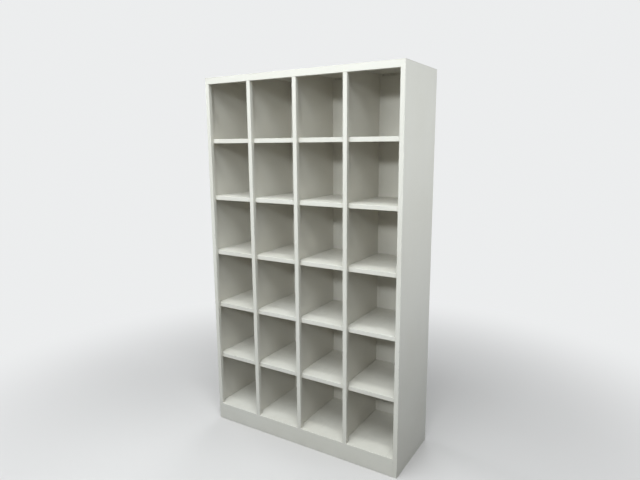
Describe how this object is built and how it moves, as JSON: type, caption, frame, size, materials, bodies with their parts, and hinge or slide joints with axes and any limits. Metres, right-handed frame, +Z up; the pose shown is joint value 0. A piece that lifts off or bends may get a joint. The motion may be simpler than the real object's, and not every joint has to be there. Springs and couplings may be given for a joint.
{
  "type": "shoe locker",
  "caption": "Free-standing open steel shoe locker: folded, painted sheet carcass with full-height partitions and fixed lipped shelves, on a plinth with levelling feet inside.",
  "frame": {"origin": "on the floor, under the middle of the locker", "axes": "+Z up, +X to the right seen from the front, +Y from the open front to the back panel"},
  "size_m": [1, 0.35, 1.72],
  "materials": {
    "ivory_paint": "satin",
    "zinc_steel": "bright zinc",
    "black_plastic": "moulded"
  },
  "bodies": {
    "carcass": {"left_side_panel": "ivory_paint", "right_side_panel": "ivory_paint", "back_panel": "ivory_paint", "top_panel": "ivory_paint", "base_deck": "ivory_paint", "partition_1": "ivory_paint", "partition_2": "ivory_paint", "partition_3": "ivory_paint", "shelf_row1_col1": "ivory_paint", "shelf_row2_col1": "ivory_paint", "shelf_row3_col1": "ivory_paint", "shelf_row4_col1": "ivory_paint", "shelf_row5_col1": "ivory_paint", "shelf_row1_col2": "ivory_paint", "shelf_row2_col2": "ivory_paint", "shelf_row3_col2": "ivory_paint", "shelf_row4_col2": "ivory_paint", "shelf_row5_col2": "ivory_paint", "shelf_row1_col3": "ivory_paint", "shelf_row2_col3": "ivory_paint", "shelf_row3_col3": "ivory_paint", "shelf_row4_col3": "ivory_paint", "shelf_row5_col3": "ivory_paint", "shelf_row1_col4": "ivory_paint", "shelf_row2_col4": "ivory_paint", "shelf_row3_col4": "ivory_paint", "shelf_row4_col4": "ivory_paint", "shelf_row5_col4": "ivory_paint", "front_left_foot_bracket": "ivory_paint", "front_left_foot_nut": "zinc_steel", "front_right_foot_bracket": "ivory_paint", "front_right_foot_nut": "zinc_steel", "rear_left_foot_bracket": "ivory_paint", "rear_left_foot_nut": "zinc_steel", "rear_right_foot_bracket": "ivory_paint", "rear_right_foot_nut": "zinc_steel"},
    "front_left_pad": {"front_left_foot_pad": "black_plastic"},
    "front_left_stem": {"front_left_foot_stem": "zinc_steel"},
    "front_right_pad": {"front_right_foot_pad": "black_plastic"},
    "front_right_stem": {"front_right_foot_stem": "zinc_steel"},
    "rear_left_pad": {"rear_left_foot_pad": "black_plastic"},
    "rear_left_stem": {"rear_left_foot_stem": "zinc_steel"},
    "rear_right_pad": {"rear_right_foot_pad": "black_plastic"},
    "rear_right_stem": {"rear_right_foot_stem": "zinc_steel"}
  },
  "joints": [
    {"name": "front_left_foot_slide", "type": "slide", "parent": "carcass", "child": "front_left_pad", "axis": [0, 0, -1], "range_m": [0, 0.015]},
    {"name": "front_left_stem_turn", "type": "hinge", "parent": "front_left_pad", "child": "front_left_stem", "pos_m": [-0.4542, -0.105, 0.03], "axis": [0, 0, -1], "range_deg": [0, 3600]},
    {"name": "front_right_foot_slide", "type": "slide", "parent": "carcass", "child": "front_right_pad", "axis": [0, 0, -1], "range_m": [0, 0.015]},
    {"name": "front_right_stem_turn", "type": "hinge", "parent": "front_right_pad", "child": "front_right_stem", "pos_m": [0.4542, -0.105, 0.03], "axis": [0, 0, -1], "range_deg": [0, 3600]},
    {"name": "rear_left_foot_slide", "type": "slide", "parent": "carcass", "child": "rear_left_pad", "axis": [0, 0, -1], "range_m": [0, 0.015]},
    {"name": "rear_left_stem_turn", "type": "hinge", "parent": "rear_left_pad", "child": "rear_left_stem", "pos_m": [-0.4542, 0.105, 0.03], "axis": [0, 0, -1], "range_deg": [0, 3600]},
    {"name": "rear_right_foot_slide", "type": "slide", "parent": "carcass", "child": "rear_right_pad", "axis": [0, 0, -1], "range_m": [0, 0.015]},
    {"name": "rear_right_stem_turn", "type": "hinge", "parent": "rear_right_pad", "child": "rear_right_stem", "pos_m": [0.4542, 0.105, 0.03], "axis": [0, 0, -1], "range_deg": [0, 3600]}
  ],
  "couplings": [
    {"joint": "front_left_stem_turn", "follows": "front_left_foot_slide", "rad_per_m": 4188.8},
    {"joint": "front_right_stem_turn", "follows": "front_right_foot_slide", "rad_per_m": 4188.8},
    {"joint": "rear_left_stem_turn", "follows": "rear_left_foot_slide", "rad_per_m": 4188.8},
    {"joint": "rear_right_stem_turn", "follows": "rear_right_foot_slide", "rad_per_m": 4188.8}
  ]
}
